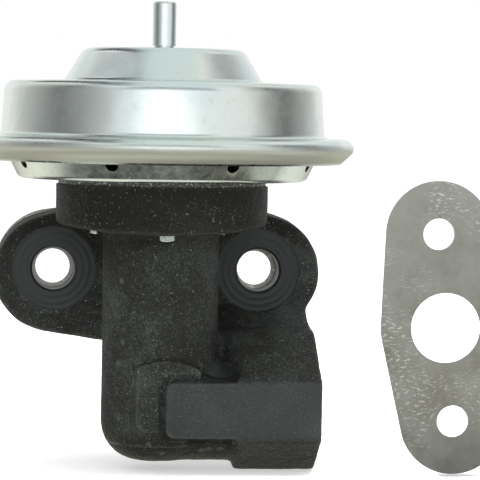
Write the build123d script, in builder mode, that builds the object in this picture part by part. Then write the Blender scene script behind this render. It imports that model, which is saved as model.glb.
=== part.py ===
from build123d import *
import math
import os

# Vacuum-operated exhaust gas recirculation valve, millimetres, +Z up along the stem.
# Origin: centre of the gas port on the outer face of the mounting gasket, which faces +Y.
# The vacuum can is on top, the gas inlet collar points to +X.

os.makedirs("parts", exist_ok=True)

# ---- mounting face and its gasket
bolt_spacing = 50.0
bolt_x = bolt_spacing / 2
port_r = 9.3
port_depth = 10.0
port_way_r = 8.6
gasket_gauge = 0.6
gasket_end_r = 14.1
gasket_middle_r = 17.4
gasket_bolt_r = 4.2

# ---- valve body casting
stem_setback = 26.6
flange_depth = 10.4
flange_draft = 0.045
left_ear_r = 14.7
left_ear_drop = 1.3
right_ear_r = 14.2
right_ear_drop = 0.5
right_ear_shift = 1.3
flange_middle_r = 19.7
ear_bolt_r = 5.2
spot_face_r = 10.1
spot_face_depth = 0.5
disc_r = 25.1
disc_bottom = 10.3
disc_top = 21.1
disc_under_round = 0.8
disc_top_round = 0.5
column_r = 13.8
column_bottom = -44.2
column_bottom_round = 9.0
column_root_round = 1.5
neck_width = 25.0
neck_bottom = -17.0
neck_top = disc_bottom + 2
neck_back = gasket_gauge + 1

# ---- inlet arm
inlet_z = -31.0
inlet_forward = 1.5
hex_across_flats = 27.6
hex_round = 2.0
hex_inner_round = 1.7
hex_mouth_round = 1.2
hex_start_x = 17.5
hex_end_x = 37.4
ridge_y = -25.0
arm_r = 13.0
bar_start_x = 0.7
bar_height = 13.1
bar_round = 1.9
bar_depth = 9.0
bar_edge_round = 0.5
pad_left_x = -6.4
pad_right_x = 9.2
pad_bottom = -36.2
pad_top = -19.3
pad_arch_r = 14.1
pad_arch_x = 0.8
pad_corner_round = 3.0
pad_edge_round = 0.6
pad_front = 14.4
web_top = -8.0
web_back = 3.0
web_back_bottom = -19.0
web_low_back = (-10.0, -28.0)
web_low_front = (-20.0, -26.0)
web_inset = 0.6
root_overlap = 2.0

# ---- gas ways inside the body
chamber_r = 9.7
guide_flange_r = 12.5
guide_flange_depth = 2.0
seat_outer_r = 9.4
seat_bottom = -24.5
seat_top = -19.5
lower_bore_r = 8.0
lower_bore_bottom = -38.0
lower_bore_point = 2.0
thread_bore_r = 9.2
thread_depth = 14.0
inlet_way_r = 7.0

# ---- vacuum can
sheet = 0.9
nipple_r = 2.8
nipple_bore_r = 1.5
nipple_neck_r = 2.35
nipple_shoulder = 54.0
nipple_top = 64.4
pan_bottom = 22.5
pan_hole_r = 4.2
dome_middle_z = 52.6
dome_edge = (18.36, 52.35)
dome_foot = (22.95, 44.75)
wall_top = (36.6, 44.4)
wall_foot = (37.5, 31.9)
rim_edge = (43.4, 31.6)
cover_rounds = [2.1, 2.1, 1.5, 2.0, 0.6, 0.4]
fold_root = (41.6, 27.35)
fold_slope = (3.3, 3.05)
fold_length = 4.5
fold_lap = 0.9
flange_under_z = 27.4
corner_low = (34.0, pan_bottom)
corner_high = (36.4, flange_under_z)
pan_rounds = [1.6, 0.9, 0.5]
vent_r = 1.5
vent_height = 26.3
vent_count = 8

# ---- moving pieces, shown with the valve closed
stem_r = 3.0
stem_end_r = 2.0
lift_plate_r = 23.5
backing_bottom = 25.1
rubber = 1.0
pintle_gap = 0.1
running_gap = 0.04
broken_edge = 0.3

# ---- spring
spring_r = 13.3
wire_r = 1.2
spring_pitch = 5.0
spring_top = 52.3

# ---- rivets
rivet_r = 1.75
rivet_circle_r = 19.5
rivet_head_r = 3.2
rivet_head_height = 1.4
rivet_head_round = 0.9
rivet_tail = 1.7
rivet_bearings = (-90, 40, 140)

stem_axis = Axis((0, -stem_setback, 0), (0, 0, 1))
half_section = Plane.XZ.offset(stem_setback)


def level(height):
    """Horizontal plane at a height, centred on the stem."""
    return Plane((0, -stem_setback, height))


def outline(points, radii):
    """Closed half section of a turned piece, with a radius at each corner."""
    with BuildSketch(half_section) as section:
        with BuildLine():
            FilletPolyline(*points, radius=radii, close=True)
        make_face()
    return section.sketch


def pressed_sheet(points, radii, gauge):
    """Half section of a pressed sheet wall that follows a line, its metal to one side of it."""
    with BuildSketch(half_section) as section:
        with BuildLine():
            FilletPolyline(*points, radius=radii)
            offset(amount=gauge, side=Side.LEFT, closed=True)
        make_face()
    return section.sketch


def turned(points, radii, label):
    """A piece turned about the stem, written out under its label."""
    with BuildPart() as piece:
        revolve(outline(points, radii), axis=stem_axis)
    piece.part.label = label
    export_step(piece.part, f"parts/{label}.step")


def wrapped(plane, circles, draft=0.0):
    """Circles given as (x, z, radius), made smaller by a draft and wrapped by their tangents."""
    with BuildSketch(plane) as face:
        for x, z, radius in circles:
            with Locations((x, z)):
                Circle(radius - draft)
        make_hull()
    return face.sketch


def at_rivets(height, radius):
    """Three circles on the rivets' places, at a height."""
    with BuildSketch(level(height)) as circles:
        for bearing in rivet_bearings:
            angle = math.radians(bearing)
            with Locations((rivet_circle_r * math.cos(angle), rivet_circle_r * math.sin(angle))):
                Circle(radius)
    return circles.sketch


# ---- inlet collar: a hexagon with a flat to the front, its edges softened as cast
hex_apothem = hex_across_flats / 2
inlet_y = -(stem_setback + inlet_forward)
arm_front = stem_setback + inlet_forward + hex_apothem
hex_top = inlet_z + hex_apothem / math.cos(math.radians(30))
ridge_z = hex_top + (ridge_y - inlet_y) * math.tan(math.radians(30))
with BuildPart() as collar:
    with BuildSketch(Plane.YZ.offset(hex_start_x)):
        with Locations((inlet_y, inlet_z)):
            RegularPolygon(radius=hex_apothem, side_count=6, major_radius=False, rotation=30)
        # its upper facet runs on to a ridge above the flange's lower edge
        Polygon(
            (inlet_y, hex_top),
            (ridge_y, ridge_z),
            (inlet_y + hex_apothem, ridge_z),
            (inlet_y + hex_apothem, inlet_z),
            (inlet_y, inlet_z),
            align=None,
        )
    extrude(amount=hex_end_x - hex_start_x)
    fillet(collar.edges().filter_by(Axis.X), radius=hex_round)
    fillet(collar.faces().sort_by(Axis.X)[0].edges(), radius=hex_inner_round)
    fillet(collar.faces().sort_by(Axis.X)[-1].edges(), radius=hex_mouth_round)

# ---- raised bar that carries the front flat of the collar across the column
with BuildPart() as bar:
    bar_length = (hex_start_x + hex_end_x) / 2 - bar_start_x
    with BuildSketch(Plane.XZ.offset(arm_front)):
        with Locations((bar_start_x + bar_length / 2, inlet_z)):
            RectangleRounded(bar_length, bar_height, bar_round)
    extrude(amount=-bar_depth)
    fillet(bar.faces().sort_by(Axis.Y)[0].edges(), radius=bar_edge_round)

# ---- low pad behind the bar, arched above and square at its lower left
with BuildPart() as pad:
    with BuildSketch(Plane.XZ.offset(stem_setback + pad_front)) as pad_outline:
        with Locations(((pad_left_x + pad_right_x) / 2, (pad_bottom + pad_top) / 2)):
            Rectangle(pad_right_x - pad_left_x, pad_top - pad_bottom)
        with Locations((pad_arch_x, pad_top - pad_arch_r)):
            Circle(pad_arch_r, mode=Mode.INTERSECT)
        fillet(pad_outline.vertices().group_by(Axis.X)[0].sort_by(Axis.Y)[:1], pad_corner_round)
    extrude(amount=-bar_depth)
    fillet(pad.faces().sort_by(Axis.Y)[0].edges(), radius=pad_edge_round)

with BuildPart() as valve_body:
    # two-ear flange, drafted towards the front
    loft(
        [
            wrapped(
                Plane.XZ.offset(gasket_gauge + depth),
                [
                    (-bolt_x, -left_ear_drop, left_ear_r),
                    (bolt_x + right_ear_shift, -right_ear_drop, right_ear_r),
                    (0, 0, flange_middle_r),
                ],
                draft=depth * flange_draft,
            )
            for depth in (0, flange_depth)
        ]
    )
    # neck that joins the column to the flange round the gas port
    with BuildSketch(Plane.XZ.offset(neck_back)):
        with Locations((0, (neck_bottom + neck_top) / 2)):
            Rectangle(neck_width, neck_top - neck_bottom)
    extrude(amount=stem_setback - neck_back)
    # column and disc, turned about the stem
    revolve(
        outline(
            [
                (0, column_bottom),
                (column_r, column_bottom),
                (column_r, disc_bottom),
                (disc_r, disc_bottom),
                (disc_r, disc_top),
                (0, disc_top),
            ],
            [0, column_bottom_round, column_root_round, disc_under_round, disc_top_round, 0],
        ),
        axis=stem_axis,
    )
    # inlet arm from the column to the collar
    with BuildSketch(Plane.YZ):
        with Locations((inlet_y, inlet_z)):
            Circle(arm_r)
    extrude(amount=hex_start_x + root_overlap)
    # web that ties the collar to the flange, level with the collar's ridge
    with BuildSketch(Plane.YZ.offset(column_r - root_overlap)):
        Polygon(
            (-web_back, web_top),
            (-flange_depth, web_top),
            (-flange_depth - gasket_gauge, ridge_z),
            (ridge_y + root_overlap, ridge_z),
            web_low_front,
            web_low_back,
            (-web_back, web_back_bottom),
            align=None,
        )
    extrude(amount=hex_end_x - web_inset - column_r + root_overlap)
    add(collar.part)
    add(pad.part)
    add(bar.part)
    # bores on the stem line: guide flange, outlet chamber, seat and lower chamber
    revolve(
        outline(
            [
                (0, lower_bore_bottom - lower_bore_point),
                (lower_bore_r, lower_bore_bottom),
                (lower_bore_r, seat_bottom),
                (seat_outer_r, seat_bottom),
                (seat_outer_r, seat_top),
                (chamber_r, seat_top),
                (chamber_r, disc_top - guide_flange_depth),
                (guide_flange_r, disc_top - guide_flange_depth),
                (guide_flange_r, disc_top + 1),
                (0, disc_top + 1),
            ],
            [0] * 10,
        ),
        axis=stem_axis,
        mode=Mode.SUBTRACT,
    )
    # gas port: a bored mouth, then the cored way to the chamber
    with BuildSketch(Plane.XZ):
        Circle(port_r)
    extrude(amount=port_depth, mode=Mode.SUBTRACT)
    with BuildSketch(Plane.XZ):
        Circle(port_way_r)
    extrude(amount=stem_setback, mode=Mode.SUBTRACT)
    # bolt holes and spot faces of the ears
    with BuildSketch(Plane.XZ):
        with GridLocations(bolt_spacing, 0, 2, 1):
            Circle(ear_bolt_r)
    extrude(amount=stem_setback, mode=Mode.SUBTRACT)
    with BuildSketch(Plane.XZ.offset(gasket_gauge + flange_depth - spot_face_depth)):
        with GridLocations(bolt_spacing, 0, 2, 1):
            Circle(spot_face_r)
    extrude(amount=stem_setback, mode=Mode.SUBTRACT)
    # inlet: threaded bore, flare seat, passage to the lower chamber
    with BuildSketch(Plane.YZ.offset(hex_end_x + 1)):
        with Locations((inlet_y, inlet_z)):
            Circle(thread_bore_r)
    extrude(amount=-thread_depth - 1, mode=Mode.SUBTRACT)
    with BuildSketch(Plane.YZ.offset(hex_end_x - thread_depth)):
        with Locations((inlet_y, inlet_z)):
            Circle(thread_bore_r)
    extrude(amount=inlet_way_r - thread_bore_r, taper=45, mode=Mode.SUBTRACT)
    with BuildSketch(Plane.YZ.offset(hex_end_x)):
        with Locations((inlet_y, inlet_z)):
            Circle(inlet_way_r)
    extrude(amount=-hex_end_x, mode=Mode.SUBTRACT)
    # rivet holes through the disc
    extrude(at_rivets(disc_top, rivet_r), amount=-disc_top, mode=Mode.SUBTRACT)
valve_body.part.label = "valve_body"
export_step(valve_body.part, "parts/valve_body.step")

# ---- upper cover: domed top, drawn wall, flange and the edge rolled under the lower cover
fold_unit = Vector(*fold_slope).normalized()
fold_tip = Vector(*fold_root) + fold_unit * fold_length
with BuildPart() as upper_cover:
    revolve(
        pressed_sheet(
            [
                (nipple_neck_r, dome_middle_z),
                dome_edge,
                dome_foot,
                wall_top,
                wall_foot,
                rim_edge,
                (fold_tip.X, fold_tip.Y),
                fold_root,
            ],
            cover_rounds,
            sheet,
        ),
        axis=stem_axis,
    )
upper_cover.part.label = "upper_cover"
export_step(upper_cover.part, "parts/upper_cover.step")

# ---- lower cover: pan with a slanted corner, vents in it, flange held in the fold
fold_entry_r = fold_root[0] - (fold_root[1] - flange_under_z) * fold_slope[0] / fold_slope[1]
flange_edge = Vector(*fold_root) + fold_unit * (fold_length - fold_lap)
corner_run = corner_high[0] - corner_low[0]
corner_rise = corner_high[1] - corner_low[1]
vent_out = corner_low[0] + (vent_height - corner_low[1]) * corner_run / corner_rise
with BuildPart() as lower_cover:
    revolve(
        pressed_sheet(
            [
                (pan_hole_r, pan_bottom),
                corner_low,
                corner_high,
                (fold_entry_r, flange_under_z),
                (flange_edge.X, flange_edge.Y),
            ],
            pan_rounds,
            sheet,
        ),
        axis=stem_axis,
    )
    for number in range(vent_count):
        bearing = (number + 0.5) * 360 / vent_count
        outward = Vector(corner_rise, 0, -corner_run).rotate(Axis.Z, bearing)
        middle = Vector(vent_out, 0, vent_height).rotate(Axis.Z, bearing) - Vector(0, stem_setback, 0)
        with BuildSketch(Plane(middle, z_dir=outward)):
            Circle(vent_r)
        extrude(amount=2 * sheet, both=True, mode=Mode.SUBTRACT)
    extrude(at_rivets(pan_bottom, rivet_r), amount=sheet, mode=Mode.SUBTRACT)
lower_cover.part.label = "lower_cover"
export_step(lower_cover.part, "parts/lower_cover.step")

# ---- nipple: drawn tube, necked through the dome and swaged inside it
nipple_swage_r = 3.8
nipple_swage_bottom = 51.4
nipple_swage_top = 52.5
nipple_mouth_round = 0.6
turned(
    [
        (nipple_bore_r, nipple_swage_bottom),
        (nipple_swage_r, nipple_swage_bottom),
        (nipple_swage_r, nipple_swage_top),
        (nipple_neck_r, nipple_swage_top),
        (nipple_neck_r, nipple_shoulder),
        (nipple_r, nipple_shoulder),
        (nipple_r, nipple_top),
        (nipple_bore_r, nipple_top),
    ],
    [0, broken_edge, broken_edge, 0, 0, 0, nipple_mouth_round, broken_edge],
    "vacuum_nipple",
)

# ---- diaphragm: clamped centre, one upward roll, thick bead in the fold
bead_low = Vector(*fold_root) + Vector(-fold_unit.Y, fold_unit.X) * sheet
bead_lap = 2.7
bead_tip = bead_low + fold_unit * bead_lap
bead_inner_r = 38.3
rim_slope = (rim_edge[1] - wall_foot[1]) / (rim_edge[0] - wall_foot[0])
pan_top = flange_under_z + sheet
bead_entry_r = bead_low.X - (bead_low.Y - pan_top) * fold_slope[0] / fold_slope[1]
plate_top = backing_bottom + sheet
clamped_r = 25.4
roll_inner_r = 26.6
roll_outer_r = 35.2
roll_top = 32.2
roll_foot_r = 36.6
roll_foot = 29.2
roll_rounds = [1.5, 3.0, 3.0, 0.8]
with BuildPart() as diaphragm:
    revolve(
        pressed_sheet(
            [
                (stem_end_r, plate_top),
                (clamped_r, plate_top),
                (roll_inner_r, roll_top),
                (roll_outer_r, roll_top),
                (roll_foot_r, roll_foot),
                (bead_inner_r + rubber / 2, roll_foot),
            ],
            roll_rounds,
            rubber,
        ),
        axis=stem_axis,
    )
    revolve(
        outline(
            [
                (bead_inner_r, pan_top),
                (bead_entry_r, pan_top),
                (bead_tip.X, bead_tip.Y),
                (bead_tip.X, wall_foot[1] + (bead_tip.X - wall_foot[0]) * rim_slope),
                (bead_inner_r, wall_foot[1] + (bead_inner_r - wall_foot[0]) * rim_slope),
            ],
            [0] * 5,
        ),
        axis=stem_axis,
    )
diaphragm.part.label = "diaphragm"
export_step(diaphragm.part, "parts/diaphragm.step")

# ---- lifting stack on the stem, from below: plate, piston cup, washer
turned(
    [
        (stem_end_r, backing_bottom),
        (lift_plate_r, backing_bottom),
        (lift_plate_r, plate_top),
        (stem_end_r, plate_top),
    ],
    [0, broken_edge, 0, 0],
    "backing_plate",
)
cup_floor = plate_top + rubber
cup_floor_r = 22.6
cup_lip_r = 24.3
cup_depth = 6.5
cup_round = 2.0
with BuildPart() as diaphragm_piston:
    revolve(
        pressed_sheet(
            [(stem_end_r, cup_floor), (cup_floor_r, cup_floor), (cup_lip_r, cup_floor + cup_depth)],
            [cup_round],
            sheet,
        ),
        axis=stem_axis,
    )
diaphragm_piston.part.label = "diaphragm_piston"
export_step(diaphragm_piston.part, "parts/diaphragm_piston.step")
washer_bottom = cup_floor + sheet
washer_gauge = 1.1
washer_top = washer_bottom + washer_gauge
washer_r = 6.0
turned(
    [
        (stem_end_r, washer_bottom),
        (washer_r, washer_bottom),
        (washer_r, washer_top),
        (stem_end_r, washer_top),
    ],
    [0, 0, broken_edge, 0],
    "stem_washer",
)

# ---- stem, shouldered at both ends, its top riveted over the washer
pintle_top = -15.5
pintle_bore_bottom = -20.5
peened_r = 3.3
peened_edge = washer_top + 0.6
peened_crown_r = 1.8
peened_top = washer_top + 1.4
turned(
    [
        (0, pintle_bore_bottom),
        (stem_end_r, pintle_bore_bottom),
        (stem_end_r, pintle_top),
        (stem_r, pintle_top),
        (stem_r, backing_bottom),
        (stem_end_r, backing_bottom),
        (stem_end_r, washer_top),
        (peened_r, washer_top),
        (peened_r, peened_edge),
        (peened_crown_r, peened_top),
        (0, peened_top),
    ],
    [0] * 7 + [broken_edge / 2, broken_edge, broken_edge * 2, 0],
    "stem",
)

# ---- pintle: rounded nose, 45 degree closing cone, flange and hub
seat_mouth = 6.4
seat_face = 1.2
seat_cone = seat_mouth - seat_top + seat_face
pintle_cone = seat_cone - pintle_gap * math.sqrt(2)
nose_tip = (0, -27.2)
nose_crown = (2.6, -26.6)
nose_shoulder = (5.2, -24.6)
cone_small_r = 5.9
cone_large_r = 8.1
pintle_edge_top = -17.7
hub_r = 4.6
hub_bottom = -16.8
nose_round = 1.5
turned(
    [
        nose_tip,
        nose_crown,
        nose_shoulder,
        (cone_small_r, cone_small_r - pintle_cone),
        (cone_large_r, cone_large_r - pintle_cone),
        (cone_large_r, pintle_edge_top),
        (hub_r, hub_bottom),
        (hub_r, pintle_top),
        (stem_end_r, pintle_top),
        (stem_end_r, pintle_bore_bottom),
        (0, pintle_bore_bottom),
    ],
    [0, nose_round, nose_round] + [broken_edge] * 5 + [0, 0, 0],
    "pintle",
)
turned(
    [
        (seat_mouth, seat_bottom),
        (seat_outer_r, seat_bottom),
        (seat_outer_r, seat_top),
        (seat_mouth + seat_face, seat_top),
        (seat_mouth, seat_top - seat_face),
    ],
    [broken_edge, 0, 0, 0, 0],
    "valve_seat",
)

# ---- guide housing with its bushing, seal and retainer
guide_bottom = 11.0
guide_shelf = disc_top - guide_flange_depth
bushing_r = 5.0
bushing_bottom = 9.5
seal_bottom = 18.2
seal_top = 19.9
seal_pocket_r = 7.0
bore_r = stem_r + running_gap
turned(
    [
        (bushing_r, guide_bottom),
        (chamber_r, guide_bottom),
        (chamber_r, guide_shelf),
        (guide_flange_r, guide_shelf),
        (guide_flange_r, disc_top),
        (seal_pocket_r, disc_top),
        (seal_pocket_r, seal_bottom),
        (bushing_r, seal_bottom),
    ],
    [0, broken_edge] + [0] * 6,
    "stem_guide",
)
turned(
    [
        (bore_r, bushing_bottom),
        (bushing_r, bushing_bottom),
        (bushing_r, seal_bottom),
        (bore_r, seal_bottom),
    ],
    [0, broken_edge, 0, 0],
    "stem_bushing",
)
turned(
    [
        (bore_r, seal_bottom),
        (seal_pocket_r, seal_bottom),
        (seal_pocket_r, seal_top),
        (bore_r, seal_top),
    ],
    [0, 0, 0, broken_edge],
    "stem_seal",
)
retainer_bore_r = 3.8
turned(
    [
        (retainer_bore_r, seal_top),
        (seal_pocket_r, seal_top),
        (seal_pocket_r, disc_top),
        (retainer_bore_r, disc_top),
    ],
    [0] * 4,
    "seal_retainer",
)

# ---- shallow cup on the stem that turns the gas away from the bushing
deflector_bottom = 0.6
deflector_floor_r = 4.6
deflector_r = 7.8
deflector_lip = 2.4
turned(
    [
        (stem_r, deflector_bottom),
        (deflector_floor_r, deflector_bottom),
        (deflector_r, deflector_lip),
        (deflector_r, deflector_lip + sheet),
        (deflector_floor_r - sheet / 4, deflector_bottom + sheet),
        (stem_r, deflector_bottom + sheet),
    ],
    [0, broken_edge, broken_edge / 2, broken_edge / 2, broken_edge, 0],
    "gas_deflector",
)

# ---- return spring, its ends ground flat on the piston floor and under the dome
coil_height = spring_top - washer_bottom
with BuildPart() as return_spring:
    with BuildLine():
        coil = Helix(
            pitch=spring_pitch,
            height=coil_height - wire_r,
            radius=spring_r,
            center=(0, -stem_setback, washer_bottom + wire_r / 2),
        )
    with BuildSketch(Plane(origin=coil @ 0, z_dir=coil % 0)):
        Circle(wire_r)
    sweep(is_frenet=True)
    with BuildSketch(level(washer_bottom)):
        Circle(spring_r + 2 * wire_r)
    extrude(amount=coil_height, mode=Mode.INTERSECT)
return_spring.part.label = "return_spring"
export_step(return_spring.part, "parts/return_spring.step")

# ---- gasket between lower cover and body
base_gasket_inset = 0.5
base_gasket_bore_r = 8.0
with BuildPart() as base_gasket:
    with BuildSketch(level(disc_top)):
        Circle(disc_r - base_gasket_inset)
        Circle(base_gasket_bore_r, mode=Mode.SUBTRACT)
    extrude(amount=pan_bottom - disc_top)
    extrude(at_rivets(disc_top, rivet_r), amount=pan_bottom - disc_top, mode=Mode.SUBTRACT)
base_gasket.part.label = "base_gasket"
export_step(base_gasket.part, "parts/base_gasket.step")

# ---- three rivets through lower cover, gasket and disc
rivet_tail_end = disc_bottom - rivet_tail
with BuildPart() as base_rivets:
    extrude(at_rivets(rivet_tail_end, rivet_r), amount=pan_bottom + sheet - rivet_tail_end)
    extrude(at_rivets(pan_bottom + sheet, rivet_head_r), amount=rivet_head_height)
    fillet(base_rivets.faces().group_by(Axis.Z)[-1].edges(), radius=rivet_head_round)
    chamfer(base_rivets.faces().group_by(Axis.Z)[0].edges(), length=broken_edge)
base_rivets.part.label = "base_rivets"
export_step(base_rivets.part, "parts/base_rivets.step")

# ---- steel gasket on the mounting face
with BuildPart() as mounting_gasket:
    extrude(
        wrapped(
            Plane.XZ,
            [(-bolt_x, 0, gasket_end_r), (bolt_x, 0, gasket_end_r), (0, 0, gasket_middle_r)],
        ),
        amount=gasket_gauge,
    )
    with BuildSketch(Plane.XZ):
        Circle(port_r)
        with GridLocations(bolt_spacing, 0, 2, 1):
            Circle(gasket_bolt_r)
    extrude(amount=gasket_gauge, mode=Mode.SUBTRACT)
mounting_gasket.part.label = "mounting_gasket"
export_step(mounting_gasket.part, "parts/mounting_gasket.step")
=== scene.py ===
import bpy
import bmesh
import math
from mathutils import Matrix, Vector


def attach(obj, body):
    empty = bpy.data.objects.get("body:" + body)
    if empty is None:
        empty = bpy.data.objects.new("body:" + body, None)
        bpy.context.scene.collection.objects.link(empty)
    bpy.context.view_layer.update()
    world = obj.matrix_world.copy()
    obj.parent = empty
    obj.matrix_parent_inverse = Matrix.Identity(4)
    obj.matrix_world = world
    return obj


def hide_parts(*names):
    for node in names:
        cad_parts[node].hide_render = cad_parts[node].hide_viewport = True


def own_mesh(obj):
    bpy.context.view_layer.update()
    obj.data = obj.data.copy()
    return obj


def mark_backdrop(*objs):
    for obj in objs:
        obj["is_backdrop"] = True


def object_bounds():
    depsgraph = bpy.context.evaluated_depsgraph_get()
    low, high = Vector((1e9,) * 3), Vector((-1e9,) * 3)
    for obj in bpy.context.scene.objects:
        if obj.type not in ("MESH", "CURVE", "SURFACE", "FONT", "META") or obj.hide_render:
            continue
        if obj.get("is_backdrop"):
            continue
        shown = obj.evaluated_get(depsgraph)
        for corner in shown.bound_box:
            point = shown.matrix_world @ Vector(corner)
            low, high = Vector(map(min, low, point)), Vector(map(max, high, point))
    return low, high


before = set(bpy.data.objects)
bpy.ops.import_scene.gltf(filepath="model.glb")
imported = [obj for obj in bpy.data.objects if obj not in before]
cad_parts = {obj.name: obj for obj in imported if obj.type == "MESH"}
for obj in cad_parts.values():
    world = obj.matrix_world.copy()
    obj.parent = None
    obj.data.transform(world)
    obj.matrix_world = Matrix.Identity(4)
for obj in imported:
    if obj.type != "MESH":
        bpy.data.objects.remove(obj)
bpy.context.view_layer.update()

# ---------------------------------------------------------------- valve body
# Grey iron, sand cast with cored gas ways, then blackened. Its skin keeps the grain of the sand and
# soft corners. The mounting face, bolt seats and bores are machined afterwards and stay crisp.
MM = 0.001
STEM_Y = -26.6


def linear(code):
    """A colour code as the renderer wants it, in linear light."""
    parts = [int(code[place:place + 2], 16) / 255 for place in (1, 3, 5)]
    return tuple(((c + 0.055) / 1.055) ** 2.4 if c > 0.04045 else c / 12.92 for c in parts) + (1.0,)


def drawn_at(size):
    """The scale that draws a pattern at a size in millimetres."""
    return 1 / (size * MM)


def add(tree, kind, settings, sockets):
    """One node, its settings and what feeds its sockets: a value, a socket or a node's output in use."""
    made = tree.nodes.new("ShaderNode" + kind)
    for name, value in settings.items():
        setattr(made, name, value)
    live = [socket for socket in made.inputs if socket.enabled]
    for key, source in sockets.items():
        socket = live[key] if isinstance(key, int) else next(one for one in live if one.name == key)
        if isinstance(source, bpy.types.Node):
            source = next(one for one in source.outputs if one.enabled)
        if isinstance(source, bpy.types.NodeSocket):
            tree.links.new(source, socket)
        else:
            socket.default_value = source
    return made


def new_material(name):
    """An empty finish, its tree and the place on the object that its patterns read."""
    made = bpy.data.materials.new(name)
    made.use_nodes = True
    tree = made.node_tree
    tree.nodes.clear()
    return made, tree, add(tree, "TexCoord", {}, {}).outputs["Object"]


def turn(bm, line, rounds, closed, steps=192, middle=(0, STEM_Y, 0), axis=(0, 0, 1)):
    """A half section, its corners rounded, turned about an axis. Points are radius and height."""
    across = Vector((1, 0, 0)) if axis[2] else Vector((0, 0, 1))
    verts = [bm.verts.new(Vector(middle) + across * r + Vector(axis) * h) for r, h in line]
    count = len(verts)
    for number in range(count if closed else count - 1):
        bm.edges.new((verts[number], verts[(number + 1) % count]))
    reaches = {}
    for place, radius in rounds.items():
        before = verts[place - 1].co - verts[place].co
        after = verts[(place + 1) % count].co - verts[place].co
        reaches[place] = radius / math.tan(before.angle(after) / 2)
    for place, reach in reaches.items():
        bmesh.ops.bevel(bm, geom=[verts[place]], offset=reach, offset_type="OFFSET", segments=7,
                        profile=0.5, affect="VERTICES", material=-1)
    bmesh.ops.spin(bm, geom=bm.verts[:] + bm.edges[:], cent=middle, axis=axis, dvec=(0, 0, 0),
                   angle=math.tau, steps=steps, use_merge=True)
    bmesh.ops.remove_doubles(bm, verts=bm.verts, dist=0.002)
    bmesh.ops.recalc_face_normals(bm, faces=bm.faces)


def block(bm, low, high):
    """A plain block between two corners."""
    made = bmesh.ops.create_cube(bm, size=1.0)["verts"]
    bmesh.ops.scale(bm, vec=Vector(high) - Vector(low), verts=made)
    bmesh.ops.translate(bm, vec=(Vector(high) + Vector(low)) / 2, verts=made)
    return made


def wrap(bm, verts):
    """The tightest skin round some points, without what it leaves inside."""
    made = bmesh.ops.convex_hull(bm, input=verts)
    inner = [v for v in made["geom_interior"] if isinstance(v, bmesh.types.BMVert)]
    bmesh.ops.delete(bm, geom=inner, context="VERTS")


def ring(bm, x, y, z, radius, segments=72, filled=False):
    """A circle square to Y."""
    place = Matrix.Translation((x, y, z)) @ Matrix.Rotation(math.pi / 2, 4, "X")
    made = bmesh.ops.create_circle(bm, cap_ends=filled, segments=segments, radius=radius, matrix=place)
    return made["verts"]


def rod(bm, start, end, radius, segments=96):
    """A solid round between two points."""
    start, end = Vector(start), Vector(end)
    turned = (end - start).to_track_quat("Z", "Y").to_matrix().to_4x4()
    bmesh.ops.create_cone(bm, cap_ends=True, segments=segments, radius1=radius, radius2=radius,
                          depth=(end - start).length, matrix=Matrix.Translation((start + end) / 2) @ turned)


def soften_along(bm, verts, axis, radius, segments):
    """Rounds the edges at some points that run along an axis."""
    edges = {e for v in verts for e in v.link_edges if abs((e.verts[0].co - e.verts[1].co)[axis]) > 1}
    bmesh.ops.bevel(bm, geom=list(edges), offset=radius, offset_type="OFFSET", segments=segments,
                    profile=0.5, affect="EDGES", material=-1)


def as_object(name, bm):
    """The mesh, made in millimetres, as an object in metres."""
    bmesh.ops.scale(bm, vec=(MM, MM, MM), verts=bm.verts)
    mesh = bpy.data.meshes.new(name)
    bm.to_mesh(mesh)
    bm.free()
    made = bpy.data.objects.new(name, mesh)
    bpy.context.scene.collection.objects.link(made)
    return made


def settled(thing):
    """The object's mesh with its modifiers worked in."""
    mesh = bpy.data.meshes.new_from_object(thing.evaluated_get(bpy.context.evaluated_depsgraph_get()))
    thing.modifiers.clear()
    thing.data = mesh
    return thing


def cut_away(thing, shape):
    """Takes a shape out of a piece."""
    tool = as_object("cutter", shape)
    cut = thing.modifiers.new("cut", "BOOLEAN")
    cut.operation = "DIFFERENCE"
    cut.solver = "MANIFOLD"
    cut.object = tool
    settled(thing)
    bpy.data.objects.remove(tool)


def finish(thing, materials, body, nodes, crease=38):
    """Smooth shading with crisp edges, the finish, and the place the piece takes in the valve."""
    thing.data.materials.clear()
    for material in materials:
        thing.data.materials.append(material)
    thing.data.shade_smooth()
    thing.data.set_sharp_from_angle(angle=math.radians(crease))
    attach(thing, body)
    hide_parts(*nodes)
    return thing


# the blank as it leaves the mould, each form standing into its neighbour: first the column under its
# disc, whose lower edge dips a little towards the front
MACHINING_STOCK = 1.4
DISC_R = 25.1
DISC_BOTTOM = 10.3
DISC_TOP = 21.1
EDGE_LIFT = 1.3
EDGE_DIP = 1.6
COLUMN_R = 13.8
COLUMN_BOTTOM = -44.2
COLUMN_FOOT_ROUND = 9.0
blank = bmesh.new()
turn(blank, [(0, COLUMN_BOTTOM), (COLUMN_R, COLUMN_BOTTOM), (COLUMN_R, DISC_BOTTOM), (DISC_R, DISC_BOTTOM),
             (DISC_R, DISC_TOP + MACHINING_STOCK), (0, DISC_TOP + MACHINING_STOCK)],
     {1: COLUMN_FOOT_ROUND, 2: 1.5, 3: 0.8}, False, 120)
for v in blank.verts:
    x, y, z = v.co
    if math.hypot(x, y - STEM_Y) > DISC_R - 4 and z < DISC_BOTTOM + 4:
        forward = min(max((STEM_Y - y) / DISC_R, 0.0), 1.0)
        v.co.z += EDGE_LIFT - EDGE_DIP * forward ** 2

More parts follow.
